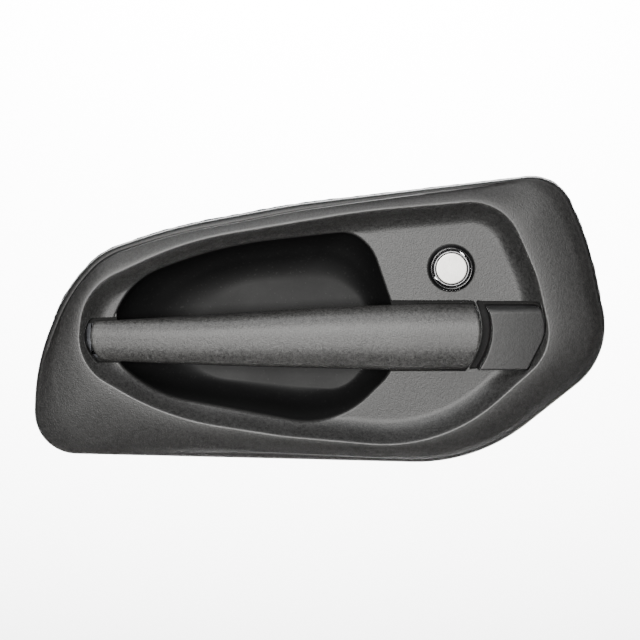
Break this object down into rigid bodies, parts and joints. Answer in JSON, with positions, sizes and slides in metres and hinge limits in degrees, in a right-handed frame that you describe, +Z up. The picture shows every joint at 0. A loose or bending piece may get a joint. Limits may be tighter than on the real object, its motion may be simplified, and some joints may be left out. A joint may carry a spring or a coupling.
{
  "type": "car door handle",
  "caption": "Exterior pull door handle with a moulded bezel, dished finger cup, hinged grip, bell crank and a push button in a round collar.",
  "frame": {"origin": "on the plane where the bezel's bosses meet the door's outer skin, at the middle of the bezel's length and height", "axes": "+X from the hinge end to the latch end, +Y into the door, +Z up"},
  "size_m": [0.2846, 0.0573, 0.1429],
  "materials": {
    "grey_grain": "fine moulded grain, dark grey",
    "grip_grain": "fine moulded grain, mid grey",
    "grip_nylon": "moulded glass-filled nylon, black",
    "cup_black": "satin black",
    "black_gloss": "glossy black",
    "nylon": "natural nylon",
    "switch_black": "moulded black",
    "foam": "closed-cell foam",
    "rubber": "moulded rubber",
    "polished_disc": "polished, slightly satin",
    "zinc_plate": "zinc-plated steel",
    "steel": "bright steel",
    "diecast": "as-cast",
    "brass": "plain brass blade"
  },
  "bodies": {
    "base": {"bezel": "grey_grain", "finger_cup": "cup_black", "gasket": "foam", "end_cap": "grey_grain", "end_cap_screw": "zinc_plate", "hinge_bracket": "zinc_plate", "hinge_bracket_screw_1": "zinc_plate", "hinge_bracket_screw_2": "zinc_plate", "hinge_pin": "steel", "hinge_pin_clip": "zinc_plate", "mechanism_bracket": "zinc_plate", "mechanism_bracket_screw_1": "zinc_plate", "mechanism_bracket_screw_2": "zinc_plate", "mechanism_bracket_screw_3": "zinc_plate", "mechanism_bracket_screw_4": "zinc_plate", "crank_pin": "steel", "crank_pin_clip": "zinc_plate", "crank_spring": "steel", "cup_screw_1": "zinc_plate", "cup_screw_2": "zinc_plate", "cup_screw_3": "zinc_plate", "cup_screw_4": "zinc_plate", "mounting_stud_1": "zinc_plate", "mounting_stud_2": "zinc_plate", "mounting_stud_3": "zinc_plate", "mounting_stud_4": "zinc_plate", "locating_clip_1": "zinc_plate", "locating_clip_2": "zinc_plate", "grip_buffer_1": "rubber", "grip_buffer_2": "rubber", "button_collar": "black_gloss", "button_housing": "diecast", "housing_nut": "zinc_plate", "button_spring": "steel", "switch_body": "switch_black", "switch_terminal_1": "brass", "switch_terminal_2": "brass"},
    "grip": {"grip_cover": "grip_grain", "grip_core": "grip_nylon", "grip_screw_1": "zinc_plate", "grip_screw_2": "zinc_plate", "hinge_bush_1": "nylon", "hinge_bush_2": "nylon", "pull_leg": "steel", "pull_leg_screw_1": "zinc_plate", "pull_leg_screw_2": "zinc_plate"},
    "crank": {"bell_crank": "diecast", "crank_bush": "nylon", "crank_roller": "nylon", "roller_rivet": "steel", "counterweight": "zinc_plate", "counterweight_rivet": "steel", "rod_clip": "switch_black"},
    "button": {"button_cap": "polished_disc", "button_plunger": "nylon"}
  },
  "joints": [
    {"name": "grip_pull", "type": "hinge", "parent": "base", "child": "grip", "pos_m": [-0.109, 0.0055, -0.008], "axis": [0, 0, -1], "range_deg": [0, 9], "stiffness_Nm_per_rad": 13, "springref_deg": -9.17},
    {"name": "bell_crank_turn", "type": "hinge", "parent": "base", "child": "crank", "pos_m": [0.066, 0.02063, -0.0362], "axis": [1, 0, 0], "range_deg": [0, 55.2], "deforming": ["crank_spring"]},
    {"name": "button_push", "type": "slide", "parent": "base", "child": "button", "axis": [0, 1, 0], "range_m": [0, 0.0025], "stiffness_N_per_m": 400, "springref_m": -0.002, "deforming": ["button_spring"]}
  ],
  "couplings": [
    {"joint": "bell_crank_turn", "follows": "grip_pull", "ratio": 6.1178}
  ]
}
